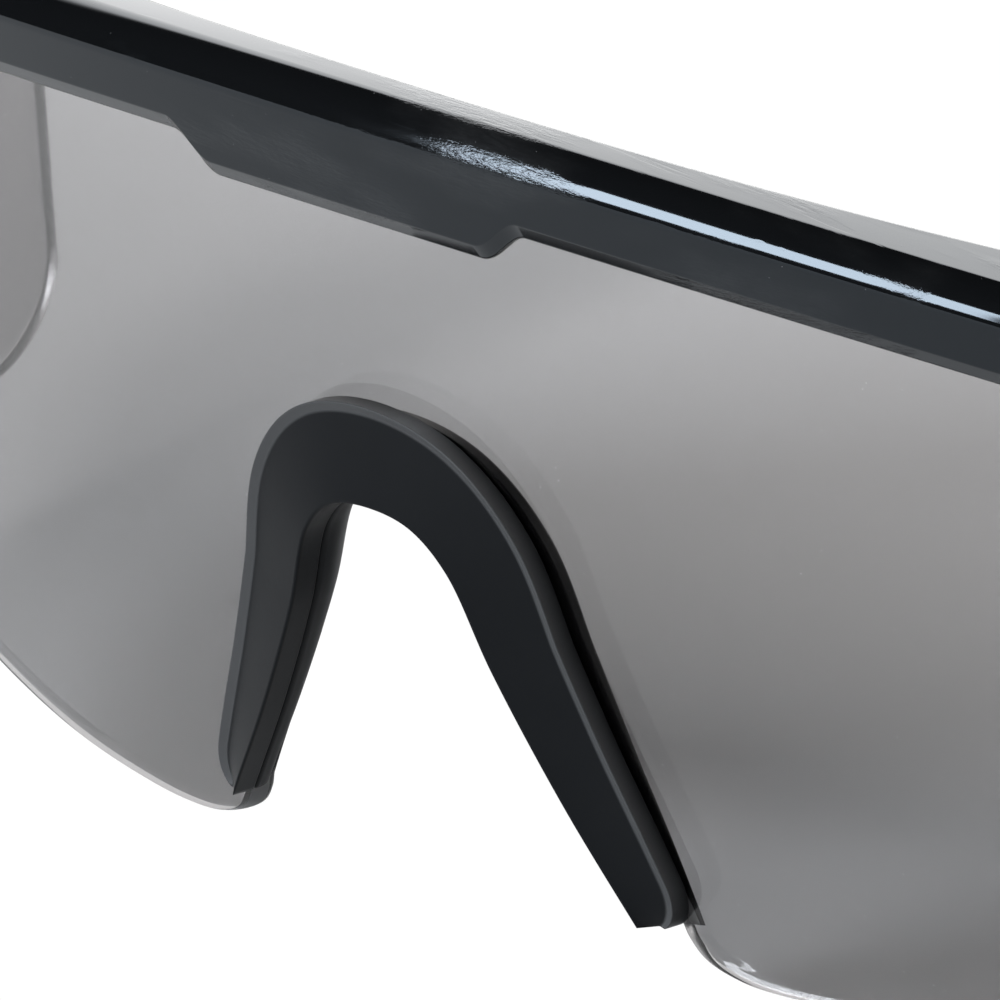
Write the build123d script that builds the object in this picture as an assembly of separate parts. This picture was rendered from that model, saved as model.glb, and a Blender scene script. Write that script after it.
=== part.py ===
from build123d import *
import os
from math import asin, cos, degrees, radians, sin, sqrt, tan

# Safety glasses with one wrap-round lens, a brow bar, a soft nose bridge and telescoping temples.
# Millimetres. X runs across the face, the front looks along -Y, Z is up and Z = 0 is the table.

# Where the front stands
lens_front_y = -82.95         # outer face of the lens at its middle, at crease height
crease_z = 48.2               # lower corner line of the brow bar's flange, at the middle
lens_tilt = 11.0              # degrees, the lens leans back towards the cheeks

# Plan path that the lens and the brow bar share
brow_radius = 170.0
corner_radius = 30.0
corner_turn = 17.1            # degrees where the brow arc meets the corner arc
wing_turn = 84.0              # degrees where the corner arc meets the straight wing
bar_rear_y = 43.6             # how far back the bar runs, behind the lens's middle

# Lens
lens_thickness = 2.0
lens_top_b = 2.6              # above the crease, inside the groove
wing_corner_radius = 7.2
wing_rear_y = 42.9            # rearmost point of the wing, behind the lens's middle
wing_low_z = 10.8

# Brow bar section, from the crease up
flange_face = 1.2             # flange's front face, in front of the lens
flange_height = 3.0
bar_height = 5.2
lip_height = 0.7
lip_set_back = 0.55
roll_radius = 2.2
ledge_depth = 2.75
ledge_growth = 3.4            # the ledge is deeper towards the corners
ledge_power = 2.7
ledge_thickness = 1.1
rear_wall = 1.2
rear_wall_bottom = 1.2
groove_ceiling = 3.3
groove_play = 0.1
brow_droop = 0.0014           # drop per square millimetre from the middle
tab_top_x = 14.3
tab_bottom_x = 11.0
tab_drop = 2.2
brow_steps = 8                # straight facets from the tab to each corner
corner_steps = 14             # and round each corner
ledge_fall = 0.15             # the ledge slopes down to its rear edge
ledge_edge = 0.3              # and is bevelled there
rear_wall_rise = 0.3

# Hinge at each end of the bar
pin_x = 71.6
pin_y = 47.8
pin_radius = 1.0
ear_radius = 2.75
lug_front_y = 43.1
lug_bottom_z = 38.9
ear_gap = (41.1, 44.7)
screw_seat = 0.8              # depth and extra radius of the screw head's seat
barrel_radius = 2.4
running_play = 0.05
pin_play = 0.02
ear_play = 0.1

# Tilt ratchet
tilt_y = 57.0
tilt_z = 42.9
disc_radius = 4.1
disc_thickness = 2.0
cheek_radius = 4.2
shoulder_inset = 0.3
rivet_head = (2.0, 0.45)      # radius and thickness, outer side
rivet_tail = (1.6, 0.4)       # and inner side
rivet_seats = (1.6, 0.9)      # depths of their seats
seat_play = 0.1
washer = (2.1, 0.25)
sleeve_half_width = 2.55
slot_half_width = 1.15
rest_slope = 7.0              # degrees, temples fall towards the ears

# Temple, along its own axis from the tilt pivot
sleeve_length = 60.0
sleeve_cavity = (2.7, 5.7)
cavity_start = 7.5
slider_section = (2.2, 5.2)
slider_start = 20.0
arm_start = 65.5
arm_section = (4.2, 7.2)
bend_start = 71.0
bend_radius = 22.0
bend_angle = 42.0
hook_length = 35.1
core_section = (2.8, 4.8)
tip_section = (5.6, 8.6)
tip_wall_end = 3.0

# Nose bridge, from the edge of the nose gap outwards
nose_gap = [(0, 26.6), (3.4, 26.0), (5.9, 23.8), (8.5, 18.0), (12.7, 10.4), (17.2, 3.4)]
toe_start = 0.7               # from here down the sections turn level, so the toes end level
nose_steps = 9
notch_set_back = 1.3
channel_play = 0.08
lip_width = (6.3, 3.1)        # at the middle and at the toes
lip_power = 1.5
lip_proud = 2.5               # inner edge of the lip, in front of the lens
lip_crest = 2.0               # outer edge of its flat face
lip_shoulder = 1.2            # foot of its bevel
lip_bevel = 1.1
rear_width = (4.8, 1.9)       # rear lip, at the middle and at the toes
rear_lip = (1.25, 0.4)
pad_step = 0.5                # the pad's curve starts here, in front of the lens
pad_flare = (2.2, 1.2)        # how far the pad has curved away at its rear edge

reach = 200.0
slope = tan(radians(lens_tilt))
bar_top_z = crease_z + bar_height


def drop_at(turn):
    """Fall of the brow line where the plan path has turned by this many degrees."""
    edge_x = brow_radius * sin(radians(corner_turn))
    if abs(turn) <= corner_turn:
        return brow_droop * (brow_radius * sin(radians(turn))) ** 2
    corner_length = corner_radius * radians(wing_turn - corner_turn)
    share = min(1.0, (abs(turn) - corner_turn) / (wing_turn - corner_turn))
    fall = 2 * brow_droop * edge_x * cos(radians(corner_turn))
    return brow_droop * edge_x**2 + fall * corner_length * share * (1 - share / 2)


def plan_point(turn, offset=0.0, beyond=0.0):
    """Point of the plan path at a turn, moved outward, then on along the straight wing."""
    side = -1 if turn < 0 else 1
    angle = radians(abs(turn))
    first = radians(corner_turn)
    centre_x = 0.0
    centre_y = brow_radius
    radius = brow_radius
    if abs(turn) > corner_turn:
        centre_x = (brow_radius - corner_radius) * sin(first)
        centre_y = brow_radius - (brow_radius - corner_radius) * cos(first)
        radius = corner_radius
    x = centre_x + (radius + offset) * sin(angle) + beyond * cos(angle)
    y = centre_y - (radius + offset) * cos(angle) + beyond * sin(angle)
    return side * x, lens_front_y + y


wing_straight = (lens_front_y + bar_rear_y - plan_point(wing_turn)[1]) / sin(radians(wing_turn))


def plan_run(offset):
    """Whole plan path at an offset: both ends, and the edges between them."""
    mid = (corner_turn + wing_turn) / 2
    corners = [plan_point(turn, offset) for turn in (-wing_turn, -corner_turn, corner_turn, wing_turn)]
    middles = [plan_point(turn, offset) for turn in (-mid, 0, mid)]
    left_end = plan_point(-wing_turn, offset, wing_straight)
    right_end = plan_point(wing_turn, offset, wing_straight)
    edges = [Line(left_end, corners[0]), Line(corners[-1], right_end)]
    edges += [ThreePointArc(*ends) for ends in zip(corners, middles, corners[1:])]
    return left_end, right_end, edges


def wrap_shell(outer, inner, top, bottom):
    """Wall between two offsets of the plan path, leaning back as it goes down."""
    left_out, right_out, front = plan_run(outer)
    left_in, right_in, back = plan_run(inner)
    face = make_face(front + back + [Line(left_out, left_in), Line(right_out, right_in)])
    lean = (crease_z - top) * slope
    height = (top - bottom) * sqrt(1 + slope**2)
    return extrude(Pos(0, lean, top) * face, height, dir=(0, slope, -1))


def front_prism(sketch):
    """Straight prism through the whole front, from an outline in X and Z."""
    return extrude(Plane.XZ * sketch, reach, both=True)


def mirrored(points):
    """Left points of a symmetric outline, running towards the middle."""
    return [(-x, z) for x, z in reversed(points)]


def brow_line(height):
    """Spline across the front that keeps this height above the flange's crease."""
    turns = [corner_turn / 2, corner_turn, 45, wing_turn]
    right = [(plan_point(turn)[0], crease_z + height - drop_at(turn)) for turn in turns]
    return mirrored(right) + [(0, crease_z + height)] + right


def tab_at(turn):
    """How far the flange is let down by the tab in the middle."""
    x = brow_radius * sin(radians(min(abs(turn), corner_turn)))
    share = (tab_top_x - x) / (tab_top_x - tab_bottom_x)
    return tab_drop * min(1.0, max(0.0, share))


def bar_section(turn, beyond=0.0):
    """Section of the brow bar, square to the plan path."""
    x, y = plan_point(turn, 0.0, beyond)
    angle = radians(turn)
    lean = slope * cos(angle)
    out = (sin(angle), -cos(angle), 0)
    along = (-cos(angle), -sin(angle), 0)
    growth = min(1.0, abs(turn) / corner_turn) ** ledge_power
    depth = ledge_depth + ledge_growth * growth
    tab = tab_at(turn)
    lip = lip_height + tab
    roll_b = bar_height - roll_radius
    start_angle = asin((flange_height - roll_b) / roll_radius)
    roll_a = flange_face + lean * flange_height - roll_radius * cos(start_angle)
    middle = (start_angle + radians(90)) / 2
    shoulder = (flange_face + lean * flange_height, flange_height)
    crown = (roll_a, bar_height)
    crest = (roll_a + roll_radius * cos(middle), roll_b + roll_radius * sin(middle))
    inner = -lens_thickness - groove_play
    ledge_bottom = bar_height - ledge_thickness
    rim = [
        crown,
        (-depth + ledge_edge, bar_height - ledge_fall),
        (-depth, bar_height - ledge_fall - ledge_edge),
        (-depth, ledge_bottom),
        (inner - rear_wall + lean * groove_ceiling, ledge_bottom - rear_wall_rise),
        (inner - rear_wall + lean * rear_wall_bottom, rear_wall_bottom),
        (inner + lean * rear_wall_bottom, rear_wall_bottom),
        (inner + lean * groove_ceiling, groove_ceiling),
        (groove_play + lean * groove_ceiling, groove_ceiling),
        (groove_play - lean * lip, -lip),
        (flange_face - lip_set_back - lean * lip, -lip),
        (flange_face - lean * tab, -tab),
        shoulder,
    ]
    edges = [Line(a, b) for a, b in zip(rim, rim[1:])]
    face = make_face(edges + [ThreePointArc(shoulder, crest, crown)])
    drop = drop_at(turn)
    return Plane(origin=(x, y + drop * slope, crease_z - drop), x_dir=out, z_dir=along) * face


def lug_column(side, radius, low, high):
    """Upright rounded block round the hinge pin."""
    return Pos(side * pin_x, lens_front_y + pin_y, (low + high) / 2) * Cylinder(radius, high - low)


def block(side, x_half, y_range, z_range, x=pin_x):
    """Box at one side, its Y range counted from the lens's middle."""
    y_low, y_high = y_range
    z_low, z_high = z_range
    middle = (side * x, lens_front_y + (y_low + y_high) / 2, (z_low + z_high) / 2)
    return Pos(*middle) * Box(2 * x_half, y_high - y_low, z_high - z_low)


def make_brow_bar():
    """Rolled brow bar with its flange, middle tab, lens groove and hinge lugs."""
    tab_turns = [degrees(asin(x / brow_radius)) for x in (tab_bottom_x, tab_top_x)]
    brow_step = (corner_turn - tab_turns[1]) / brow_steps
    corner_step = (wing_turn - corner_turn) / corner_steps
    stations = [(turn, 0) for turn in tab_turns]
    stations += [(tab_turns[1] + brow_step * step, 0) for step in range(1, brow_steps + 1)]
    stations += [(corner_turn + corner_step * step, 0) for step in range(1, corner_steps + 1)]
    stations.append((wing_turn, wing_straight))
    left = [bar_section(-turn, beyond) for turn, beyond in reversed(stations)]
    right = [bar_section(turn, beyond) for turn, beyond in stations]
    middle = [bar_section(turn) for turn in (-tab_turns[0] / 2, 0, tab_turns[0] / 2)]
    bar = loft(left + middle + right, ruled=True)
    top = bar_top_z - drop_at(wing_turn)
    for side in (-1, 1):
        lug = lug_column(side, ear_radius, lug_bottom_z, top)
        lug += block(side, ear_radius, (lug_front_y, pin_y), (lug_bottom_z, top))
        lug -= block(side, ear_radius + 1, (lug_front_y + 2, pin_y + 5), ear_gap)
        bar += lug
        bar -= lug_column(side, pin_radius, lug_bottom_z - 1, top - screw_seat)
        bar -= lug_column(side, pin_radius + screw_seat, top - screw_seat, top + 1)
    return bar


def lens_face_y(x, z):
    """Where the lens's outer face stands, near the middle."""
    return lens_front_y + (crease_z - z) * slope + x**2 / (2 * brow_radius)


def gap_stations():
    """Points, outward directions and shares of the way to the toe, along the nose gap's edge."""
    edge = Spline(mirrored(nose_gap[1:]) + nose_gap)
    stations = []
    for step in range(2 * nose_steps + 1):
        at = step / (2 * nose_steps)
        point = edge.position_at(at)
        along = edge.tangent_at(at)
        share = abs(2 * at - 1)
        level = max(0.0, (share - toe_start) / (1 - toe_start))
        out_x = (1 - level) * -along.Y + level * (1 if at > 0.5 else -1)
        out_z = (1 - level) * along.X
        length = sqrt(out_x**2 + out_z**2)
        stations.append((point.X, point.Y, out_x / length, out_z / length, share))
    return stations


def gap_offset(amount):
    """The nose gap's edge moved outward."""
    return [(x + amount * out_x, z + amount * out_z) for x, z, out_x, out_z, share in gap_stations()]


def make_lens():
    """One-piece lens with its nose notch, two lobes and swept-back wings."""
    wall = wrap_shell(0, -lens_thickness, crease_z + 6, -4)
    notch = gap_offset(notch_set_back)
    lobe = [(18.9, 2.4), (19.9, 1.2), (22.3, 0.3), (25.5, 0.05)]
    lobe += [(30.0, 0.2), (38.0, 1.2), (48.0, 3.8), (58.0, 7.4)]
    right = [notch[-1]] + lobe + [(66.0, wing_low_z)]
    left = [notch[0]] + [(-x, z) for x, z in right[1:]]
    top = brow_line(lens_top_b)
    side_x = 80.0
    side_top = top[-1][1]
    outline = [Spline(notch), Spline(right), Spline(left), Spline(top)]
    for x, end in ((side_x, right[-1]), (-side_x, left[-1])):
        outline.append(Line(end, (x, wing_low_z)))
        outline.append(Line((x, wing_low_z), (x, side_top)))
    outline.append(Line((side_x, side_top), top[-1]))
    outline.append(Line((-side_x, side_top), top[0]))
    wall = wall & front_prism(make_face(outline))
    return wall & wing_profile()


def wing_profile():
    """Side outline that rounds the wings' lower rear corners."""
    rear = lens_front_y + wing_rear_y
    low = (rear - wing_corner_radius, wing_low_z)
    turn = (rear, wing_low_z + wing_corner_radius)
    centre = (rear - wing_corner_radius, wing_low_z + wing_corner_radius)
    diagonal = wing_corner_radius * sin(radians(45))
    mid = (centre[0] + diagonal, centre[1] - diagonal)
    high = (rear - (60 - turn[1]) * slope, 60)
    front = lens_front_y - 10
    edges = [
        Line((front, 60), (front, -10)),
        Line((front, -10), (low[0], -10)),
        Line((low[0], -10), low),
        ThreePointArc(low, mid, turn),
        Line(turn, high),
        Line(high, (front, 60)),
    ]
    return extrude(Plane.YZ * make_face(edges), reach, both=True)


def nose_section(x, z, out_x, out_z, share):
    """Section of the saddle: lip, channel round the notch's edge, rear lip and flared pad."""
    width = lip_width[0] - (lip_width[0] - lip_width[1]) * share**lip_power
    rear = rear_width[0] - (rear_width[0] - rear_width[1]) * share**2
    flare = pad_flare[0] - (pad_flare[0] - pad_flare[1]) * share
    back = lens_thickness + channel_play
    rear_depth = back + rear_lip[0] - (rear_lip[0] - rear_lip[1]) * share**2
    channel = notch_set_back - channel_play
    ring = [
        (0, -lip_proud),
        (width - lip_bevel, -lip_crest),
        (width, -lip_shoulder),
        (width, -channel_play),
        (channel, -channel_play),
        (channel, back),
        (rear, back),
        (rear - channel_play, rear_depth),
        (flare, rear_depth),
        (flare / 4, rear_depth / 3),
        (0, -pad_step),
    ]
    corners = []
    for out, behind in ring:
        px = x + out * out_x
        pz = z + out * out_z
        corners.append((px, lens_face_y(px, pz) + behind, pz))
    return make_face(Polyline(corners, close=True))


def make_nose_bridge():
    """Soft saddle that grips the edge of the lens's nose notch."""
    return loft([nose_section(*station) for station in gap_stations()])


def make_hinge_screw(side):
    """Cheese-head screw, the upright pin of the fold."""
    top = bar_top_z - drop_at(wing_turn)
    shank = lug_column(side, pin_radius - pin_play, lug_bottom_z + 0.2, top - screw_seat + 0.1)
    head = lug_column(side, pin_radius + screw_seat - 0.1, top - screw_seat + pin_play, top - running_play)
    slot = block(side, 2.5, (pin_y - 0.25, pin_y + 0.25), (top - screw_seat / 2, top + 1))
    return shank + head - slot


def make_knuckle(side):
    """Fold barrel in front, shoulder, and the ratchet disc behind."""
    low, high = ear_gap
    barrel = lug_column(side, barrel_radius, low + ear_play, high - ear_play)
    neck = block(side, disc_thickness / 2, (pin_y, tilt_y), (low + ear_play, high - ear_play))
    rise = cheek_radius - shoulder_inset
    shoulder = block(side, barrel_radius, (pin_y + 3.1, pin_y + 4.4), (tilt_z - rise, tilt_z + rise))
    disc = Rot(0, 90, 0) * Cylinder(disc_radius, disc_thickness)
    hole = Rot(0, 90, 0) * Cylinder(pin_radius + running_play, 10)
    pivot = Pos(side * pin_x, lens_front_y + tilt_y, tilt_z)
    knuckle = barrel + neck + shoulder + pivot * disc
    knuckle -= lug_column(side, pin_radius + running_play - pin_play, low - 2, high + 2)
    return knuckle - pivot * hole


def temple_place(side):
    """Frame of one temple: at its tilt pivot, falling towards the ear."""
    return Pos(side * pin_x, lens_front_y + tilt_y, tilt_z) * Rot(-rest_slope, 0, 0)


def temple_box(x_half, y_low, y_high, z_half):
    """Box along the temple's own axis."""
    return Pos(0, (y_low + y_high) / 2, 0) * Box(2 * x_half, y_high - y_low, 2 * z_half)


def cross_cylinder(radius, length, x=0.0):
    """Cylinder across the temple, on the tilt pivot."""
    return Pos(x, 0, 0) * Rot(0, 90, 0) * Cylinder(radius, length)


def make_temple_sleeve(side):
    """Hollow front half of the temple, forked round the ratchet disc."""
    body = cross_cylinder(cheek_radius, 2 * sleeve_half_width)
    body += temple_box(sleeve_half_width, 0, sleeve_length, cheek_radius)
    long_edges = [edge for edge in body.edges().filter_by(Axis.Y) if edge.length > sleeve_length / 2]
    body = fillet(long_edges, 1.0)
    body -= temple_box(slot_half_width, -6, disc_radius + 0.6, 6)
    body -= temple_box(sleeve_cavity[0] / 2, cavity_start, sleeve_length + 1, sleeve_cavity[1] / 2)
    body -= cross_cylinder(pin_radius, 20)
    outer_seat, inner_seat = rivet_seats
    body -= cross_cylinder(washer[0] + seat_play, outer_seat, side * sleeve_half_width)
    body -= cross_cylinder(rivet_tail[0] + seat_play, inner_seat, -side * sleeve_half_width)
    return temple_place(side) * body


def make_tilt_rivet(side):
    """Headed rivet, the cross pin of the tilt."""
    rivet = cross_cylinder(pin_radius - pin_play, 2 * sleeve_half_width - 2 * seat_play)
    for (radius, thick), way in ((rivet_head, side), (rivet_tail, -side)):
        rivet += cross_cylinder(radius, thick, way * (sleeve_half_width - running_play - thick / 2))
    return temple_place(side) * rivet


def make_tilt_washer(side):
    """Spring washer under the rivet's head."""
    x = side * (sleeve_half_width - rivet_seats[0] / 2 + washer[1] / 2 + pin_play)
    ring = cross_cylinder(washer[0], washer[1], x)
    ring -= cross_cylinder(pin_radius + seat_play, 2, x)
    return temple_place(side) * ring


def hook_path(start, shorten=0.0):
    """Centre line of the ear hook: straight, bent down, straight."""
    bend = radians(bend_angle)
    half = bend / 2
    bend_end = (0, bend_start + bend_radius * sin(bend), -bend_radius * (1 - cos(bend)))
    bend_mid = (0, bend_start + bend_radius * sin(half), -bend_radius * (1 - cos(half)))
    length = hook_length - shorten
    end = (
        0,
        bend_end[1] + length * cos(bend),
        bend_end[2] - length * sin(bend),
    )
    edges = [ThreePointArc((0, bend_start, 0), bend_mid, bend_end), Line(bend_end, end)]
    if start < bend_start:
        edges.insert(0, Line((0, start, 0), (0, bend_start, 0)))
    return Wire(edges)


def swept(section, radius, path, start):
    """Rounded bar of one section along the hook's centre line."""
    plane = Plane(origin=(0, start, 0), x_dir=(1, 0, 0), z_dir=(0, 1, 0))
    return sweep(plane * RectangleRounded(section[0], section[1], radius), path)


def make_earpiece(side):
    """Slider, arm and the core of the ear hook in one moulding."""
    bar = temple_box(slider_section[0] / 2, slider_start, arm_start + 1, slider_section[1] / 2)
    arm = temple_box(arm_section[0] / 2, arm_start, bend_start - 0.1, arm_section[1] / 2)
    arm = fillet(arm.edges().filter_by(Axis.Y), 1.2)
    core = swept(core_section, 1.0, hook_path(bend_start - 2, tip_wall_end), bend_start - 2)
    return temple_place(side) * (bar + arm + core)


def make_ear_tip(side):
    """Soft sleeve over the hook's core, with a flat where it rests."""
    outer = swept(tip_section, 2.2, hook_path(bend_start), bend_start)
    play = 0.1
    hollow_section = (core_section[0] + play, core_section[1] + play)
    hollow_path = hook_path(bend_start - 2, tip_wall_end - play)
    hollow = swept(hollow_section, 1.0 + play / 2, hollow_path, bend_start - 2)
    tip = temple_place(side) * (outer - hollow)
    return tip & Pos(0, 0, reach) * Box(4 * reach, 4 * reach, 2 * reach)


def save(part, node):
    """One STEP file for one named piece."""
    part.label = node
    export_step(part, os.path.join("parts", node + ".step"))


os.makedirs("parts", exist_ok=True)
save(make_brow_bar(), "brow_bar")
save(make_lens(), "lens")
save(make_nose_bridge(), "nose_bridge")
for name, side in (("left", 1), ("right", -1)):
    save(make_hinge_screw(side), "hinge_screw_" + name)
    save(make_knuckle(side), "knuckle_" + name)
    save(make_tilt_rivet(side), "tilt_rivet_" + name)
    save(make_tilt_washer(side), "tilt_washer_" + name)
    save(make_temple_sleeve(side), "temple_sleeve_" + name)
    save(make_earpiece(side), "earpiece_" + name)
    save(make_ear_tip(side), "ear_tip_" + name)
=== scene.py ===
import bmesh
import bpy
import numpy as np
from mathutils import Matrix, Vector


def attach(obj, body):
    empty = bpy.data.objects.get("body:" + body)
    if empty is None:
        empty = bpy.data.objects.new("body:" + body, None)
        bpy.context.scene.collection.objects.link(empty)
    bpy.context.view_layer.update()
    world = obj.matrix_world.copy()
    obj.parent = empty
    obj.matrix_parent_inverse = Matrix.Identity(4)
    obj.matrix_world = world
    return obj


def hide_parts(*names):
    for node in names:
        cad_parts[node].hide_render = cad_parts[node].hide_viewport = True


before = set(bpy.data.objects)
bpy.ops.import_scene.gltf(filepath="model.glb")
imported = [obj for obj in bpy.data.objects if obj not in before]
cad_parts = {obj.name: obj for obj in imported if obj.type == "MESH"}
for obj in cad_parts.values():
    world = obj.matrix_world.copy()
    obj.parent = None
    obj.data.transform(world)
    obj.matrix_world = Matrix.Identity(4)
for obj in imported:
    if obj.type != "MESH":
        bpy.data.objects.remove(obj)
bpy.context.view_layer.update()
mm = 0.001
print("frame loaded:", len(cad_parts), "nodes")

# where the front stands, in millimetres like every value below
front = {
    "lensY": -82.95, "creaseZ": 48.2, "lean": np.tan(np.radians(11.0)),
    "browRadius": 170.0, "cornerRadius": 30.0, "cornerTurn": np.radians(17.1), "wingTurn": np.radians(84.0),
    "droop": 0.0014, "barRearY": 43.6,
}


def gridMesh(name, grid, rim=None):
    # closed skin from a grid of rows x columns x 3, in mm: rows run along the piece and columns go round it,
    # quads join neighbours, and a fan from the middle of the first and last row closes each end
    rows, cols = grid.shape[:2]
    index = np.arange(rows * cols).reshape(rows, cols)
    here, ahead = index[:-1], index[1:]
    quads = np.stack([here, np.roll(here, -1, axis=1), np.roll(ahead, -1, axis=1), ahead], axis=-1)
    points = grid.reshape(-1, 3)
    middleA, middleB = len(points), len(points) + 1
    points = np.vstack([points, grid[0].mean(axis=0), grid[-1].mean(axis=0)])
    first, last = index[0], index[-1]
    faces = quads.reshape(-1, 4).tolist()
    faces += np.stack([np.full(cols, middleA), np.roll(first, -1), first], axis=1).tolist()
    faces += np.stack([np.full(cols, middleB), last, np.roll(last, -1)], axis=1).tolist()
    mesh = bpy.data.meshes.new(name)
    mesh.from_pydata((points * mm).tolist(), [], faces)
    if rim is not None:
        # the materials read this as the attribute "rim"
        layer = mesh.attributes.new("rim", "FLOAT", "POINT")
        values = np.zeros(len(points))
        values[: rows * cols] = rim.ravel()
        layer.data.foreach_set("value", values)
    mesh.validate()
    tidyMesh(mesh)
    return placeMesh(name, mesh)


def tidyMesh(mesh, merge=1e-7):
    # welds doubles, turns every face outwards and shades smooth
    work = bmesh.new()
    work.from_mesh(mesh)
    bmesh.ops.remove_doubles(work, verts=work.verts, dist=merge)
    bmesh.ops.recalc_face_normals(work, faces=work.faces)
    work.to_mesh(mesh)
    work.free()
    mesh.shade_smooth()


def placeMesh(name, mesh):
    piece = bpy.data.objects.new(name, mesh)
    bpy.context.scene.collection.objects.link(piece)
    return piece


def roundedRing(corners, setbacks, steps, support=0.04, most=0.46, least=0.02):
    # closed ring through polygon corners: each corner becomes a parabola arc between points set back along
    # its edges, with a support point just outside each end; most and least cap both as shares of the edge
    before = np.roll(corners, 1, axis=1)
    after = np.roll(corners, -1, axis=1)
    rings = []
    for k in range(corners.shape[1]):
        p = corners[:, k]
        if steps[k] == 1:
            rings.append(p)
            continue
        toA = before[:, k] - p
        toB = after[:, k] - p
        lengthA = np.linalg.norm(toA, axis=1, keepdims=True)
        lengthB = np.linalg.norm(toB, axis=1, keepdims=True)
        start = p + toA / lengthA * np.minimum(setbacks[k], most * lengthA)
        end = p + toB / lengthB * np.minimum(setbacks[k], most * lengthB)
        rings.append(start + toA / lengthA * np.minimum(support, least * lengthA))
        for t in np.linspace(0, 1, steps[k]):
            rings.append((1 - t) ** 2 * start + 2 * t * (1 - t) * p + t**2 * end)
        rings.append(end + toB / lengthB * np.minimum(support, least * lengthB))
    return np.stack(rings, axis=1)


frontArc = front["browRadius"] * front["cornerTurn"]
cornerArc = front["cornerRadius"] * (front["wingTurn"] - front["cornerTurn"])


def pathAt(distance, offset):
    # signed distance along the plan path -> x, y and turn, moved outwards by the offset; the path is an
    # arc, a tighter arc that touches it, then a straight wing
    f = front
    side = np.sign(distance) + (distance == 0)
    d = np.abs(distance)
    inCorner = d >= frontArc
    turn = np.where(inCorner, f["cornerTurn"] + (d - frontArc) / f["cornerRadius"], d / f["browRadius"])
    turn = np.minimum(turn, f["wingTurn"])
    beyond = np.maximum(0.0, d - frontArc - cornerArc)
    gap = f["browRadius"] - f["cornerRadius"]
    centreX = np.where(inCorner, gap * np.sin(f["cornerTurn"]), 0.0)
    centreY = np.where(inCorner, f["browRadius"] - gap * np.cos(f["cornerTurn"]), f["browRadius"])
    radius = np.where(inCorner, f["cornerRadius"], f["browRadius"]) + offset
    x = centreX + radius * np.sin(turn) + beyond * np.cos(turn)
    y = f["lensY"] + centreY - radius * np.cos(turn) + beyond * np.sin(turn)
    return side * x, y, side * turn


def dropAt(turn):
    # fall of the brow line: grows with the square of x, then eases out round the corner
    f = front
    t = np.abs(turn)
    inside = f["droop"] * (f["browRadius"] * np.sin(np.minimum(t, f["cornerTurn"]))) ** 2
    share = np.clip((t - f["cornerTurn"]) / (f["wingTurn"] - f["cornerTurn"]), 0, 1)
    edgeFall = 2 * f["droop"] * f["browRadius"] * np.sin(f["cornerTurn"]) * np.cos(f["cornerTurn"])
    return inside + edgeFall * cornerArc * share * (1 - share / 2)


def wingReach(y):
    # distance along the path at which the straight wing gets to this y
    return frontArc + cornerArc + (y - cornerEndY) / np.sin(front["wingTurn"])


cornerEndY = float(pathAt(np.array([frontArc + cornerArc]), 0.0)[1][0])


def smoothStep(low, high, value):
    t = np.clip((value - low) / (high - low), 0, 1)
    return t * t * (3 - 2 * t)


bar = {
    "flangeFace": 1.2, "flangeHeight": 3.0, "height": 5.2,
    "lipHeight": 0.86, "lipBack": 0.62, "creaseLift": 0.2,
    "rollRadius": 2.2, "rollStart": 0.1, "rollSteps": 26,
    "ledgeDepth": 2.75, "ledgeGrowth": 3.4, "ledgePower": 2.7, "ledgeThick": 1.1, "ledgeFall": 0.12,
    "rearWall": 1.2, "rearBottom": 1.2, "wallRise": 0.3, "ceiling": 3.3, "play": 0.1, "lensThick": 2.0,
    "tabTop": 14.9, "tabBottom": 11.1, "tabDrop": 2.25, "tabMargin": 0.4, "tabSteps": 44, "steps": 620,
    # how far each corner after the roll is rounded, and by how many points
    "setbacks": [0.3, 0.3, 0.3, 0.3, 0.2, 0.2, 0.2, 0.12, 0.22, 0.06],
    "cornerSteps": [5, 5, 4, 4, 3, 2, 2, 3, 5, 3],
}


def barSection(turn, x):
    # corners of the section as (outward, up) pairs, one row per station, with the tab let down in the middle
    b = bar
    ones = np.ones_like(turn)
    lean = front["lean"] * np.cos(turn)
    growth = np.clip(np.abs(turn) / front["cornerTurn"], 0, 1) ** b["ledgePower"]
    depth = b["ledgeDepth"] + b["ledgeGrowth"] * growth
    tab = b["tabDrop"] * (1 - smoothStep(b["tabBottom"], b["tabTop"], np.abs(x)))
    inner = -b["lensThick"] - b["play"]
    flangeTop = b["flangeFace"] + lean * b["flangeHeight"]
    rollBase = b["height"] - b["rollRadius"]
    corners = [(flangeTop, min(b["flangeHeight"], rollBase) * ones)]
    for angle in np.linspace(b["rollStart"], np.pi / 2, b["rollSteps"]):
        out = flangeTop + b["rollRadius"] * (np.cos(angle) - np.cos(b["rollStart"]))
        corners.append((out, (rollBase + b["rollRadius"] * np.sin(angle)) * ones))
    corners += [
        (-depth, (b["height"] - b["ledgeFall"]) * ones),
        (-depth, (b["height"] - b["ledgeThick"]) * ones),
        (inner - b["rearWall"] + lean * b["ceiling"], (b["height"] - b["ledgeThick"] - b["wallRise"]) * ones),
        (inner - b["rearWall"] + lean * b["rearBottom"], b["rearBottom"] * ones),
        (inner + lean * b["rearBottom"], b["rearBottom"] * ones),
        (inner + lean * b["ceiling"], b["ceiling"] * ones),
        (b["play"] + lean * b["ceiling"], b["ceiling"] * ones),
        (b["play"] - lean * (b["lipHeight"] + tab), -b["lipHeight"] - tab),
        (b["flangeFace"] - b["lipBack"] - lean * (b["lipHeight"] + tab), -b["lipHeight"] - tab),
        (b["flangeFace"] + lean * (b["creaseLift"] - tab), b["creaseLift"] - tab),
    ]
    return np.stack([np.stack(pair, axis=1) for pair in corners], axis=1)


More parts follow.
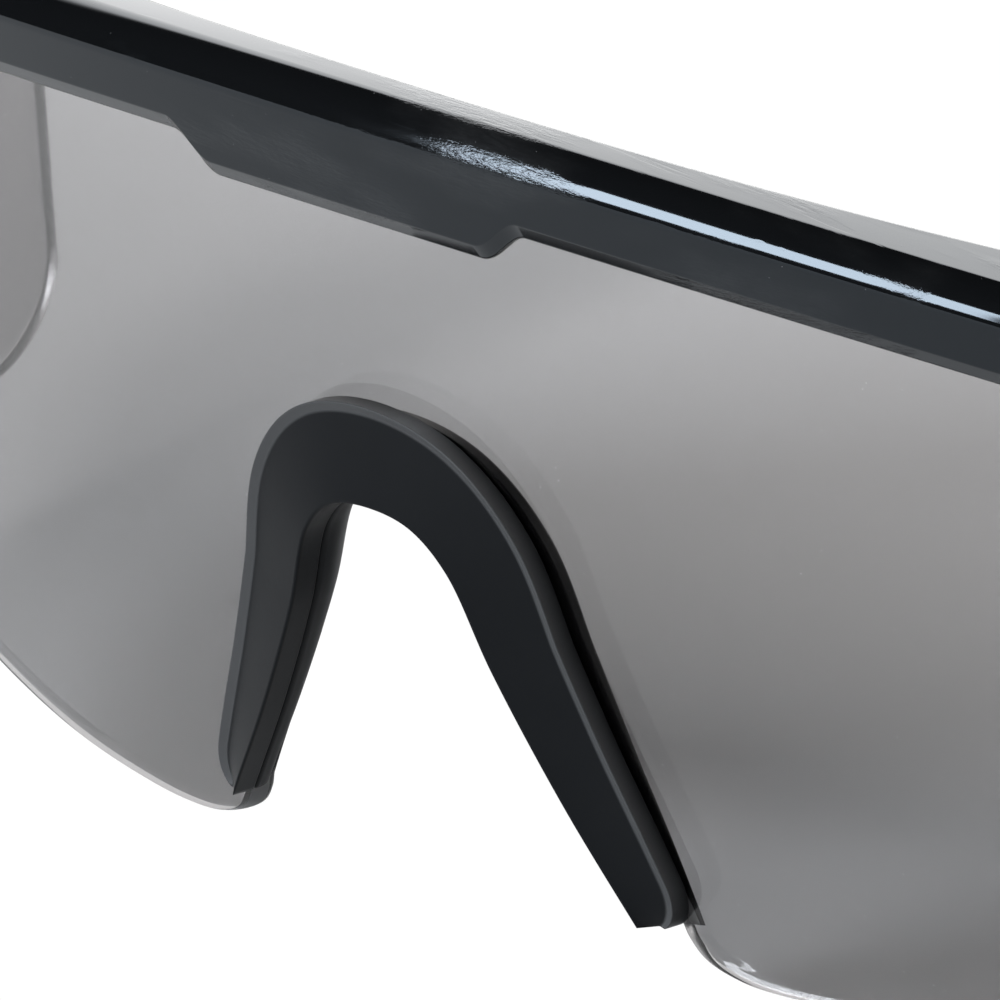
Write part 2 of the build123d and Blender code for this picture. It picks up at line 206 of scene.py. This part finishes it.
def barGrid(distance):
    # the section stands square to the path, which falls by dropAt and leans back as it falls
    x, y, turn = pathAt(distance, 0.0)
    drop = dropAt(turn)
    corners = barSection(turn, x)
    rolls = bar["rollSteps"]
    setbacks = [0.1] + [0.0] * rolls + bar["setbacks"]
    steps = [3] + [1] * rolls + bar["cornerSteps"]
    ring = roundedRing(corners, setbacks, steps)
    out, up = ring[..., 0], ring[..., 1]
    px = x[:, None] + out * np.sin(turn)[:, None]
    py = (y + drop * front["lean"])[:, None] - out * np.cos(turn)[:, None]
    pz = (front["creaseZ"] - drop)[:, None] + up
    return np.stack([px, py, pz], axis=-1)


barEnd = wingReach(front["lensY"] + front["barRearY"])
even = np.linspace(-barEnd, barEnd, bar["steps"])
slant = np.linspace(bar["tabBottom"] - bar["tabMargin"], bar["tabTop"] + bar["tabMargin"], bar["tabSteps"])
stations = np.unique(np.concatenate([even, -slant, slant]))
browBar = gridMesh("brow_bar_shell", barGrid(stations))
print("brow bar made")


lens = {
    "thick": 2.0, "topB": 2.6, "rim": 0.25, "rimReach": 0.5, "notchBack": 1.3, "toeStart": 0.7,
    "wingZ": 10.8, "wingRadius": 7.2, "wingRear": 42.9, "wingLean": 0.11, "wingFade": 12.0,
    "gap": [(0, 26.6), (3.4, 26.0), (5.9, 23.8), (8.5, 18.0), (12.7, 10.4), (17.2, 3.4)],
    "lobe": [
        (18.9, 2.4), (19.9, 1.2), (22.3, 0.3), (25.5, 0.02), (30.0, 0.2), (38.0, 1.2), (48.0, 3.8),
        (58.0, 7.4), (66.0, 10.4),
    ],
    "gapSteps": 241, "gapStride": 12, "lobeSteps": 420, "midSteps": 30, "wingSteps": 90, "rimSteps": 6,
    "rows": 70, "rowMargin": 0.02,
}


def smoothCurve(points, count):
    # Catmull-Rom curve through the points with chord-length spacing, sampled evenly along its length
    p = np.asarray(points, float)
    p = np.vstack([2 * p[0] - p[1], p, 2 * p[-1] - p[-2]])
    knots = np.concatenate([[0], np.cumsum(np.linalg.norm(np.diff(p, axis=0), axis=1) ** 0.5)])
    pieces = []
    for k in range(1, len(p) - 2):
        t0, t1, t2, t3 = knots[k - 1 : k + 3]
        t = np.linspace(t1, t2, 60, endpoint=k == len(p) - 3)[:, None]
        a1 = (t1 - t) / (t1 - t0) * p[k - 1] + (t - t0) / (t1 - t0) * p[k]
        a2 = (t2 - t) / (t2 - t1) * p[k] + (t - t1) / (t2 - t1) * p[k + 1]
        a3 = (t3 - t) / (t3 - t2) * p[k + 1] + (t - t2) / (t3 - t2) * p[k + 2]
        b1 = (t2 - t) / (t2 - t0) * a1 + (t - t0) / (t2 - t0) * a2
        b2 = (t3 - t) / (t3 - t1) * a2 + (t - t1) / (t3 - t1) * a3
        pieces.append((t2 - t) / (t2 - t1) * b1 + (t - t1) / (t2 - t1) * b2)
    dense = np.vstack(pieces)
    length = np.concatenate([[0], np.cumsum(np.linalg.norm(np.diff(dense, axis=0), axis=1))])
    wanted = np.linspace(0, length[-1], count)
    return np.stack([np.interp(wanted, length, dense[:, k]) for k in range(2)], axis=1)


def gapEdge(count):
    # nose gap's edge from the left toe over the top to the right toe, with outward directions
    half = lens["gap"]
    points = [(-x, z) for x, z in reversed(half[1:])] + half
    edge = smoothCurve(points, count)
    along = np.gradient(edge, axis=0)
    along /= np.linalg.norm(along, axis=1, keepdims=True)
    share = np.linspace(-1, 1, count)
    level = np.clip((np.abs(share) - lens["toeStart"]) / (1 - lens["toeStart"]), 0, 1)
    out = np.stack([(1 - level) * -along[:, 1] + level * np.sign(share), (1 - level) * along[:, 0]], axis=1)
    return edge, out / np.linalg.norm(out, axis=1, keepdims=True)


def lensColumns():
    # path distance and lower edge height of every column of the right half, bunched where the edge is steep
    edge, out = gapEdge(lens["gapSteps"])
    notch = (edge + lens["notchBack"] * out)[lens["gapSteps"] // 2 :]
    points = np.vstack([notch[: -1 : lens["gapStride"]], notch[-1:], lens["lobe"]])
    curve = smoothCurve(points, lens["lobeSteps"])
    curve[:, 0] = np.maximum.accumulate(curve[:, 0])
    distance = np.linspace(0, barEnd + 4, 4000)
    reach = np.interp(curve[:, 0], pathAt(distance, 0.0)[0], distance)
    return reach, curve[:, 1]


# the wing's rear corner is a quarter circle in side view, joined to the lobe by a short level run
reachSteep, lowSteep = lensColumns()
angle = np.linspace(0, np.pi / 2, lens["wingSteps"])
lowWing = lens["wingZ"] + lens["wingRadius"] * (1 - np.cos(angle))
leanBack = (front["creaseZ"] - lowWing) * front["lean"]
backWing = lens["wingRear"] - lens["wingRadius"] * (1 - np.sin(angle)) - leanBack
reachWing = wingReach(front["lensY"] + backWing)
arcStart, wingEnd = reachWing[0], reachWing[-1]
reachMid = np.linspace(reachSteep[-1], arcStart, lens["midSteps"])[1:-1]
reachHalf = np.concatenate([reachSteep, reachMid, reachWing])
lowHalf = np.concatenate([lowSteep, np.full(len(reachMid), lens["wingZ"]), lowWing])
reachAll = np.concatenate([-reachHalf[:0:-1], reachHalf])
lowAll = np.concatenate([lowHalf[:0:-1], lowHalf])


def lensGrid():
    # each column is a closed loop: up the outer face, over the rounded top rim, down the inner face and round
    # the low rim; the rims are quarter ellipses, and the sheet leans back as it goes down
    turn = pathAt(reachAll, 0.0)[2]
    top = front["creaseZ"] + lens["topB"] - dropAt(turn)
    half = lens["thick"] / 2
    bulge = half * np.sqrt(np.clip((wingEnd - np.abs(reachAll)) / lens["rim"], 0.0, 1.0))
    rimSide = np.linspace(0, np.pi / 2, lens["rimSteps"])
    rims = list(zip(lens["rim"] * (1 - np.cos(rimSide)), np.sin(rimSide)))
    ups, outs = [], []
    for rise, share in rims:
        ups.append(lowAll + rise)
        outs.append(-half + bulge * share)
    for share in np.linspace(lens["rowMargin"], 1 - lens["rowMargin"], lens["rows"]):
        ups.append(lowAll + lens["rim"] + (top - lowAll - 2 * lens["rim"]) * share)
        outs.append(-half + bulge)
    for rise, share in rims[::-1]:
        ups.append(top - rise)
        outs.append(-half + bulge * share)
    backUps = ups[::-1][1:-1]
    backOuts = [-lens["thick"] - out for out in outs[::-1][1:-1]]
    ups = np.stack(ups + backUps, axis=1)
    outs = np.stack(outs + backOuts, axis=1)
    distance = np.repeat(reachAll[:, None], ups.shape[1], axis=1)
    rearward = smoothStep(arcStart - lens["wingFade"], wingEnd, np.abs(distance))
    lift = np.maximum(ups - lens["wingZ"] - lens["wingRadius"], 0)
    distance = distance + np.sign(distance) * rearward * lift * lens["wingLean"]
    x, y, _ = pathAt(distance, outs)
    y = y + (front["creaseZ"] - ups) * front["lean"]
    inside = np.minimum(np.abs(outs), np.abs(outs + lens["thick"]))
    atEnd = (wingEnd - np.abs(reachAll) < lens["rim"])[:, None]
    return np.stack([x, y, ups], axis=-1), np.maximum(smoothStep(0.0, lens["rimReach"], inside), atEnd * 1.0)


lensPoints, lensEdge = lensGrid()
lensPiece = gridMesh("lens_shield", lensPoints, lensEdge)
print("lens made")


nose = {
    "width": (6.3, 3.0), "widthPower": 1.5, "proud": 2.5, "rimFoot": 1.22, "rim": 1.5, "rimWidth": 0.62,
    "rearWidth": (5.5, 2.0), "rearLip": (1.25, 0.1), "step": 0.5, "seam": 0.16, "seamDepth": (0.08, 0.2),
    "curve": (5.6, 2.3), "curveSteps": 12, "steepest": 0.94, "play": 0.05, "channelFit": 0.1,
    # the last value in this row is the strength of the painted highlight on the rim ridge
    "toeRound": 0.09, "toeFall": 0.8, "steps": 300, "support": 0.06, "ridgeSheen": 0.35,
    # how far each corner before the pad's curve is rounded, and by how many points; then the two after it
    "setbacks": [0.22, 0.12, 0.13, 0.05, 0.05, 0.05, 0.3, 0.3, 0.3],
    "cornerSteps": [6, 5, 5, 2, 2, 2, 4, 4, 5],
    "lastSetbacks": [0.05, 0.06], "lastSteps": [2, 3],
}


def noseGrid():
    # sections square to the gap's edge: flat lip, raised rim, channel for the lens, rear lip, and a pad that
    # curves away on an arc; the second array it returns is a painted highlight (sheen), 1 at the pad's rear
    # edge and fainter on the rim
    n = nose
    edge, out = gapEdge(n["steps"])
    share = np.abs(np.linspace(-1, 1, n["steps"]))
    ones = np.ones_like(share)
    toe = np.sqrt(1 - np.clip((share - 1 + n["toeRound"]) / n["toeRound"], 0, 1) ** 2 * n["toeFall"])
    width = (n["width"][0] - (n["width"][0] - n["width"][1]) * share ** n["widthPower"]) * toe
    rear = n["rearWidth"][0] - (n["rearWidth"][0] - n["rearWidth"][1]) * share**2
    back = lens["thick"] + n["play"]
    rearDepth = back + n["rearLip"][0] - (n["rearLip"][0] - n["rearLip"][1]) * share**2
    notch = lens["notchBack"] - n["channelFit"]
    radius = n["curve"][0] + (n["curve"][1] - n["curve"][0]) * share
    corners = [
        (0.0 * ones, -n["proud"] * ones),
        (width - n["rimWidth"], -n["rimFoot"] * ones),
        (width, -n["rim"] * ones),
        (width, -n["play"] * ones),
        (notch * ones, -n["play"] * ones),
        (notch * ones, back * ones),
        (rear, back * ones),
        (rear - n["channelFit"], rearDepth),
    ]
    last = np.arcsin(np.clip((rearDepth + n["step"]) / radius, 0, n["steepest"]))
    for part in np.linspace(1, 0, n["curveSteps"]):
        turn = last * part
        corners.append((radius * (1 - np.cos(turn)), radius * np.sin(turn) - n["step"]))
    corners.append((n["seam"] * ones, (-n["step"] - n["seamDepth"][0]) * ones))
    corners.append((0.0 * ones, (-n["step"] - n["seamDepth"][1]) * ones))
    corners = np.stack([np.stack(pair, axis=1) for pair in corners], axis=1)
    setbacks = n["setbacks"] + [0.0] * (n["curveSteps"] - 1) + n["lastSetbacks"]
    steps = n["cornerSteps"] + [1] * (n["curveSteps"] - 1) + n["lastSteps"]
    ring = roundedRing(corners, setbacks, steps, n["support"])
    away, behind = ring[..., 0], ring[..., 1]
    # painted highlight: a lighter band on the rim ridge and along the pad's rear edge, standing in for sheen
    fromRim = np.abs(away - width[:, None] + n["rimWidth"] / 2) - n["rimWidth"] / 2
    paintedSheen = n["ridgeSheen"] * smoothStep(0.2, -0.1, fromRim) * (behind < -n["rimFoot"] + 0.25)
    padStart = sum(count + 2 for count in n["cornerSteps"][:8])
    paintedSheen[:, padStart:] = smoothStep(0.1, 1.0, behind / rearDepth[:, None])[:, padStart:]
    px = edge[:, :1] + away * out[:, :1]
    pz = edge[:, 1:] + away * out[:, 1:]
    lensFace = front["lensY"] + (front["creaseZ"] - pz) * front["lean"] + px**2 / (2 * front["browRadius"])
    return np.stack([px, lensFace + behind, pz], axis=-1), paintedSheen


# the saddle's painted highlight goes into its rim attribute
nosePoints, noseSheen = noseGrid()
nosePiece = gridMesh("nose_saddle", nosePoints, noseSheen)
print("nose bridge made")


class Wire:
    # one socket that can be added, multiplied and so on; every operator adds a Math node
    def __init__(self, tree, socket):
        self.tree, self.socket = tree, socket

    def math(self, kind, other, swap=False):
        node = self.tree.nodes.new("ShaderNodeMath")
        node.operation = kind
        pair = [other, self] if swap else [self, other]
        for slot, value in zip(node.inputs, pair):
            if isinstance(value, Wire):
                self.tree.links.new(value.socket, slot)
            elif value is not None:
                slot.default_value = value
        return Wire(self.tree, node.outputs[0])

    def __add__(self, other):
        return self.math("ADD", other)

    def __radd__(self, other):
        return self.math("ADD", other)

    def __sub__(self, other):
        return self.math("SUBTRACT", other)

    def __rsub__(self, other):
        return self.math("SUBTRACT", other, True)

    def __mul__(self, other):
        return self.math("MULTIPLY", other)

    def __rmul__(self, other):
        return self.math("MULTIPLY", other)

    def __truediv__(self, other):
        return self.math("DIVIDE", other)

    def __pow__(self, other):
        return self.math("POWER", other)


class Finish:
    # a material with its Principled shader, and a way to add nodes
    def __init__(self, name):
        self.material = bpy.data.materials.new(name)
        self.material.use_nodes = True
        self.tree = self.material.node_tree
        self.shader = self.tree.nodes["Principled BSDF"]
        self.place = Wire(self.tree, self.add("ShaderNodeTexCoord").outputs["Object"])

    def add(self, kind, settings=None, values=None):
        node = self.tree.nodes.new(kind)
        for key, value in (settings or {}).items():
            setattr(node, key, value)
        for key, value in (values or {}).items():
            if isinstance(value, Wire):
                self.tree.links.new(value.socket, node.inputs[key])
            else:
                node.inputs[key].default_value = value
        return node

    def out(self, node, key=0):
        return Wire(self.tree, node.outputs[key])

    def noise(self, scale, detail=3.0, roughness=0.5, stretch=(1, 1, 1)):
        mapped = self.out(self.add("ShaderNodeMapping", None, {"Vector": self.place, "Scale": stretch}))
        values = {"Vector": mapped, "Scale": scale, "Detail": detail, "Roughness": roughness}
        return self.out(self.add("ShaderNodeTexNoise", None, values), "Fac")

    def specks(self, scale, size):
        values = {"Vector": self.place, "Scale": scale, "Randomness": 1.0}
        far = self.out(self.add("ShaderNodeTexVoronoi", {"feature": "F1"}, values), "Distance")
        return self.ramp(far, size, size * 0.5)

    def ramp(self, value, low, high):
        values = {"Value": value, "From Min": low, "From Max": high, "To Min": 0.0, "To Max": 1.0}
        return self.out(self.add("ShaderNodeMapRange", {"interpolation_type": "SMOOTHSTEP"}, values))

    def mix(self, factor, a, b):
        node = self.add("ShaderNodeMix", {"data_type": "RGBA"})
        for slot, value in ((0, factor), (6, a), (7, b)):
            if isinstance(value, Wire):
                self.tree.links.new(value.socket, node.inputs[slot])
            else:
                node.inputs[slot].default_value = value
        return Wire(self.tree, node.outputs[2])

    def set(self, key, value):
        if isinstance(value, Wire):
            self.tree.links.new(value.socket, self.shader.inputs[key])
        else:
            self.shader.inputs[key].default_value = value

    def bump(self, height, strength, distance):
        values = {"Height": height, "Strength": strength, "Distance": distance}
        self.set("Normal", self.out(self.add("ShaderNodeBump", None, values), "Normal"))


def grey(value, blue=1.0):
    return (value, value * (1 + 0.4 * (blue - 1)), value * blue, 1.0)


def glossBlack(name, tone=0.003):
    # moulded nylon with a hard shine: faint flow waves, hairlines, patches of fine scuffs, and dust
    f = Finish(name)
    waves = f.noise(35.0, 2.0)
    hairs = f.ramp(f.noise(900.0, 2.0, 0.6, (0.04, 1.0, 1.0)), 0.64, 0.70)
    patch = f.ramp(f.noise(110.0, 3.0, 0.6, (0.35, 1.0, 1.0)), 0.50, 0.68)
    scuffs = f.noise(3600.0, 3.0, 0.7, (0.22, 1.0, 1.0)) * patch
    dust = f.specks(850.0, 0.035)
    f.set("Base Color", f.mix(dust * 0.5 + scuffs * 0.08, grey(tone, 1.25), grey(0.14, 1.05)))
    f.set("Roughness", 0.055 + 0.04 * waves + 0.08 * hairs + 0.14 * scuffs + 0.3 * dust)
    f.set("IOR", 1.5)
    f.set("Specular Tint", (0.78, 0.89, 1.0, 1.0))
    f.bump(waves * 0.6 + hairs * -0.3 + scuffs * 4.0 + dust * 0.3, 0.16, 0.00012)
    return f.material


def smokeLens(name):
    # clear grey polycarbonate with rubs, specks and fine hairlines; the rim attribute marks its cut edge,
    # which is darker and rougher
    f = Finish(name)
    rub = f.noise(60.0, 4.0, 0.6)
    hairs = f.ramp(f.noise(700.0, 1.0, 0.5, (1.0, 1.0, 0.05)), 0.70, 0.74)
    dust = f.specks(700.0, 0.055)
    edge = f.out(f.add("ShaderNodeAttribute", {"attribute_name": "rim"}), "Fac")
    body = f.mix(dust * 0.8, (0.502, 0.490, 0.491, 1.0), (0.95, 0.95, 0.95, 1.0))
    f.set("Base Color", f.mix(edge * 0.9, body, (0.27, 0.275, 0.28, 1.0)))
    f.set("Roughness", 0.012 + 0.012 * rub + 0.05 * hairs + 0.25 * dust + 0.34 * edge)
    f.set("IOR", 1.586)
    f.set("Transmission Weight", 1.0)
    return f.material


def softBlack(name, tone=0.003, rough=0.32, shine=0.09):
    # soft vinyl: satin, a little mottled, with a fine grain; the rim attribute marks a painted highlight, an
    # edge made lighter in colour to stand in for sheen
    f = Finish(name)
    f.set("Specular IOR Level", shine)
    paintedSheen = f.out(f.add("ShaderNodeAttribute", {"attribute_name": "rim"}), "Fac")
    cloud = f.noise(120.0, 4.0, 0.6)
    grain = f.noise(4200.0, 2.0, 0.6)
    dust = f.specks(900.0, 0.035)
    plain = f.mix(dust * 0.5 + cloud * 0.2, grey(tone, 1.45), grey(tone * 2.4, 1.3))
    # painted highlight: where the rim attribute is set, the base colour is lifted towards light grey
    f.set("Base Color", f.mix(paintedSheen * (0.75 + 0.25 * cloud), plain, grey(0.15, 1.05)))
    f.set("Roughness", rough + 0.12 * cloud - 0.04 * grain)
    f.set("IOR", 1.5)
    f.bump(cloud * 0.4 + grain * 0.25, 0.12, 0.00008)
    return f.material


def turnedSteel(name):
    # plain steel with fine uneven turning marks
    f = Finish(name)
    rings = f.noise(2600.0, 2.0, 0.6)
    f.set("Base Color", f.mix(rings, (0.50, 0.50, 0.51, 1.0), (0.66, 0.66, 0.67, 1.0)))
    f.set("Metallic", 1.0)
    f.set("Roughness", 0.26 + 0.16 * rings)
    f.bump(rings, 0.15, 0.00003)
    return f.material


finishes = {
    "bar": glossBlack("bar_gloss"), "lens": smokeLens("lens_smoke"), "nose": softBlack("nose_soft"),
    "temple": glossBlack("temple_gloss", 0.004), "satin": softBlack("earpiece_satin", 0.010, 0.42, 0.4),
    "tip": softBlack("tip_soft", 0.012, 0.5, 0.35), "steel": turnedSteel("screw_steel"),
}


def wear(piece, finish):
    piece.data.materials.clear()
    piece.data.materials.append(finishes[finish])


for piece, finish, node, slot in (
    (browBar, "bar", "brow_bar", "bar_gloss_black"),
    (lensPiece, "lens", "lens", "lens_smoke"),
    (nosePiece, "nose", "nose_bridge", "nose_soft_black"),
):
    wear(piece, finish)
    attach(piece, "front")
    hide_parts(node)


# edge rounding of the copied pieces: weld in metres, flat in radians, sharp in degrees
softEdge = {"weld": 2e-6, "flat": 0.02, "sharp": 35, "segments": 3, "lugWidth": 0.25, "lugOverlap": 1.2}


def softenedCopy(node, name, width, cut=None):
    # welded copy of a frame node with its sharp edges rounded; a cut in y keeps only what lies behind it
    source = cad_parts[node]
    mesh = source.data.copy()
    mesh.name = name
    work = bmesh.new()
    work.from_mesh(mesh)
    bmesh.ops.remove_doubles(work, verts=work.verts, dist=softEdge["weld"])
    if cut is not None:
        everything = work.verts[:] + work.edges[:] + work.faces[:]
        plane = {"plane_co": (0, cut, 0), "plane_no": (0, -1, 0)}
        cutting = bmesh.ops.bisect_plane(work, geom=everything, clear_outer=True, **plane)
        edges = [e for e in cutting["geom_cut"] if isinstance(e, bmesh.types.BMEdge)]
        bmesh.ops.contextual_create(work, geom=edges)
    bmesh.ops.dissolve_limit(work, angle_limit=softEdge["flat"], verts=work.verts, edges=work.edges)
    bmesh.ops.recalc_face_normals(work, faces=work.faces)
    work.to_mesh(mesh)
    work.free()
    mesh.shade_smooth()
    piece = placeMesh(name, mesh)
    bevel = piece.modifiers.new("edges", "BEVEL")
    bevel.width = width * mm
    bevel.segments = softEdge["segments"]
    bevel.limit_method = "ANGLE"
    bevel.angle_limit = np.radians(softEdge["sharp"])
    bevel.harden_normals = True
    return piece


for side in ("left", "right"):
    for node, finish, width, body, slot in (
        ("knuckle", "temple", 0.22, "hinge", "hinge_black"),
        ("temple_sleeve", "temple", 0.25, "temple", "temple_black"),
        ("tilt_rivet", "steel", 0.12, "temple", "steel"),
        ("tilt_washer", "steel", 0.05, "temple", "steel"),
        ("earpiece", "satin", 0.2, "ear", "earpiece_black"),
        ("hinge_screw", "steel", 0.12, "front", "steel"),
    ):
        piece = softenedCopy(node + "_" + side, node + "_form_" + side, width)
        wear(piece, finish)
        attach(piece, body if body == "front" else body + "_" + side)
        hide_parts(node + "_" + side)

lugCut = front["lensY"] + front["barRearY"] - softEdge["lugOverlap"]
lugs = softenedCopy("brow_bar", "hinge_lugs", softEdge["lugWidth"], lugCut * mm)
wear(lugs, "bar")
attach(lugs, "front")
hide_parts("brow_bar")
print("temples and hinges made")

# the soft tips over the ear hooks, in the temple's own axes from the tilt pivot
tip = {
    "pivot": (71.6, 57.0, 42.9), "slope": 7.0, "bendStart": 71.0, "bendRadius": 22.0, "bendAngle": 42.0,
    "length": 35.1, "halfWidth": 2.8, "halfHeight": 4.3, "power": 3.4, "mouth": 0.7, "end": 1.8,
    "ribStart": 17.0, "ribPitch": 2.5, "ribCount": 11, "ribDepth": 0.32, "stations": 300, "columns": 64,
}


def earTipGrid(side):
    # superellipse sections square to a path that runs round an arc, then straight; both ends are rounded by a
    # quarter circle, the ribs are cosine waves cut into the flanks, and the floor flattens the lower end
    t = tip
    bend = np.radians(t["bendAngle"])
    arc = t["bendRadius"] * bend
    whole = arc + t["length"]
    ends = np.concatenate([np.linspace(0, t["mouth"], 9), whole - np.linspace(0, t["end"], 13)])
    along = np.unique(np.concatenate([np.linspace(0, whole, t["stations"]), ends]))
    turn = np.minimum(along / t["bendRadius"], bend)
    past = np.maximum(along - arc, 0)
    pathY = t["bendStart"] + t["bendRadius"] * np.sin(turn) + past * np.cos(bend)
    pathZ = -t["bendRadius"] * (1 - np.cos(turn)) - past * np.sin(bend)
    inset = np.zeros_like(along)
    for depth, reach in ((along, t["mouth"]), (whole - along, t["end"])):
        near = np.clip(reach - depth, 0, reach)
        inset += reach - np.sqrt(reach**2 - near**2)
    wave = (along - t["ribStart"]) / t["ribPitch"]
    ribbed = (wave > 0) & (wave < t["ribCount"])
    ribs = t["ribDepth"] * (0.5 - 0.5 * np.cos(2 * np.pi * wave)) ** 2 * ribbed
    angle = np.linspace(0, 2 * np.pi, t["columns"], endpoint=False)
    across = np.sign(np.cos(angle)) * np.abs(np.cos(angle)) ** (2 / t["power"])
    up = np.sign(np.sin(angle)) * np.abs(np.sin(angle)) ** (2 / t["power"])
    flank = smoothStep(0.95, 0.7, np.abs(up)) * smoothStep(0.5, 0.9, np.abs(across))
    x = (t["halfWidth"] - inset)[:, None] * across - ribs[:, None] * flank * np.sign(across)
    lift = (t["halfHeight"] - inset)[:, None] * up
    y = pathY[:, None] + lift * np.sin(turn)[:, None]
    z = pathZ[:, None] + lift * np.cos(turn)[:, None]
    slope = np.radians(t["slope"])
    worldY = front["lensY"] + t["pivot"][1] + y * np.cos(slope) + z * np.sin(slope)
    worldZ = t["pivot"][2] - y * np.sin(slope) + z * np.cos(slope)
    return np.stack([side * t["pivot"][0] + x, worldY, np.maximum(worldZ, 0)], axis=-1)


for side, sign in (("left", 1), ("right", -1)):
    earTip = gridMesh("ear_tip_grip_" + side, earTipGrid(sign))
    wear(earTip, "tip")
    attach(earTip, "ear_" + side)
    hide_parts("ear_tip_" + side)
print("ear tips made")

# camera place in degrees and mm, lamp and floor places in metres
studio = {
    "azimuth": 46.0, "elevation": 18.09, "distance": 2700.0, "widthAcross": 58.82, "sensor": 36.0,
    "target": (10.07, -80.04, 29.24),
    "floorNear": -0.36, "floorFar": 3.0, "floorGlow": 1.02, "worldGlow": 1.05, "worldSoft": 0.16,
    "bandGlow": 2.5, "worldDark": 0.006,
}
lamps = {
    "key_box": {
        "place": (0.28, -0.88, 0.82), "aim": (0, -0.05, 0), "width": 0.34, "height": 0.42,
        "power": 10.5, "colour": (1, 1, 1),
    },
    "front_box": {
        "place": (-0.33, -1.04, 0.36), "aim": (0.02, -0.08, 0.05), "width": 0.62, "height": 0.44,
        "power": 15.5, "colour": (0.88, 0.94, 1.0),
    },
}


def lookFrom():
    a, e = np.radians(studio["azimuth"]), np.radians(studio["elevation"])
    back = Vector((np.sin(a) * np.cos(e), -np.cos(a) * np.cos(e), np.sin(e)))
    camera = bpy.data.objects.new("camera", bpy.data.cameras.new("camera"))
    bpy.context.scene.collection.objects.link(camera)
    camera.location = Vector(studio["target"]) * mm + back * studio["distance"] * mm
    camera.rotation_euler = back.to_track_quat("Z", "Y").to_euler()
    camera.data.sensor_width = studio["sensor"]
    camera.data.lens = studio["sensor"] * studio["distance"] / studio["widthAcross"]
    camera.data.clip_start = 0.01
    bpy.context.scene.camera = camera


def softBox(name, place, aim, width, height, power, colour):
    light = bpy.data.lights.new(name, "AREA")
    light.shape = "RECTANGLE"
    light.size = width
    light.size_y = height
    light.energy = power
    light.color = colour
    lamp = bpy.data.objects.new(name, light)
    bpy.context.scene.collection.objects.link(lamp)
    lamp.location = place
    lamp.rotation_euler = (Vector(place) - Vector(aim)).to_track_quat("Z", "Y").to_euler()
    lamp.visible_camera = False


# painted shadow: the pale floor's colour darkens towards the front, under and just behind the glasses,
# standing in for their shadow; in mm along Y
paintedFloorShade = {"near": -44.0, "far": 20.0, "power": 1.7, "most": 1.15, "low": 0.56, "high": 0.86, "cloud": 0.02}


def paleFloor():
    # plain white where it is seen directly, a lit matt floor for what the lens and the gloss pick up, with a
    # painted shadow in its colour
    near, far = studio["floorNear"], studio["floorFar"]
    mesh = bpy.data.meshes.new("floor")
    mesh.from_pydata([(near, near, 0), (far, near, 0), (far, far, 0), (near, far, 0)], [], [(0, 1, 2, 3)])
    floor = placeMesh("floor", mesh)
    f = Finish("floor_pale")
    behind = f.out(f.add("ShaderNodeSeparateXYZ", None, {"Vector": f.place}), "Y")
    behind = (behind * 1000 - paintedFloorShade["near"]) / (paintedFloorShade["far"] - paintedFloorShade["near"])
    behind = behind.math("MAXIMUM", 0.0).math("MINIMUM", paintedFloorShade["most"]) ** paintedFloorShade["power"]
    light = paintedFloorShade["low"] + behind * (paintedFloorShade["high"] - paintedFloorShade["low"])
    light = light + f.noise(3.0) * paintedFloorShade["cloud"]
    # painted shadow: the base colour is darker towards the front, near the glasses
    f.set("Base Color", f.mix(light, (0, 0, 0, 1), (1, 1, 1, 1)))
    f.set("Roughness", 0.9)
    f.set("Specular IOR Level", 0.0)
    glow = f.add("ShaderNodeEmission", None, {"Color": (1, 1, 1, 1), "Strength": studio["floorGlow"]})
    direct = f.out(f.add("ShaderNodeLightPath"), "Is Camera Ray")
    blend = f.add("ShaderNodeMixShader", None, {"Fac": direct})
    f.tree.links.new(f.shader.outputs[0], blend.inputs[1])
    f.tree.links.new(glow.outputs[0], blend.inputs[2])
    f.tree.links.new(blend.outputs[0], f.tree.nodes["Material Output"].inputs["Surface"])
    floor.data.materials.append(f.material)


def worldStep(value, low, high):
    node = value.tree.nodes.new("ShaderNodeMapRange")
    node.interpolation_type = "SMOOTHSTEP"
    value.tree.links.new(value.socket, node.inputs["Value"])
    node.inputs["From Min"].default_value = low
    node.inputs["From Max"].default_value = high
    return Wire(value.tree, node.outputs[0])


def paleWorld():
    # white for what is seen directly or through the lens; for reflections, a bright low band behind and
    # dark above it
    world = bpy.data.worlds.new("studio")
    world.use_nodes = True
    bpy.context.scene.world = world
    tree = world.node_tree
    split = tree.nodes.new("ShaderNodeSeparateXYZ")
    tree.links.new(tree.nodes.new("ShaderNodeTexCoord").outputs["Generated"], split.inputs[0])
    path = tree.nodes.new("ShaderNodeLightPath")
    through = Wire(tree, path.outputs["Is Transmission Ray"])
    seen = Wire(tree, path.outputs["Is Camera Ray"]).math("MAXIMUM", through)
    soft = Wire(tree, path.outputs["Is Diffuse Ray"])
    low = 1 - worldStep(Wire(tree, split.outputs["Z"]), 0.50, 0.56)
    behind = worldStep(Wire(tree, split.outputs["Y"]), 0.15, 0.45)
    band = low * behind * studio["bandGlow"] + studio["worldDark"]
    strength = seen * studio["worldGlow"] + (1 - seen) * (soft * studio["worldSoft"] + (1 - soft) * band)
    background = tree.nodes["Background"]
    tree.links.new(strength.socket, background.inputs["Strength"])
    background.inputs["Color"].default_value = (1, 1, 1, 1)


lookFrom()
paleFloor()
paleWorld()
for name, settings in lamps.items():
    softBox(name, **settings)
bpy.context.scene.view_settings.view_transform = "Standard"
print("studio made")
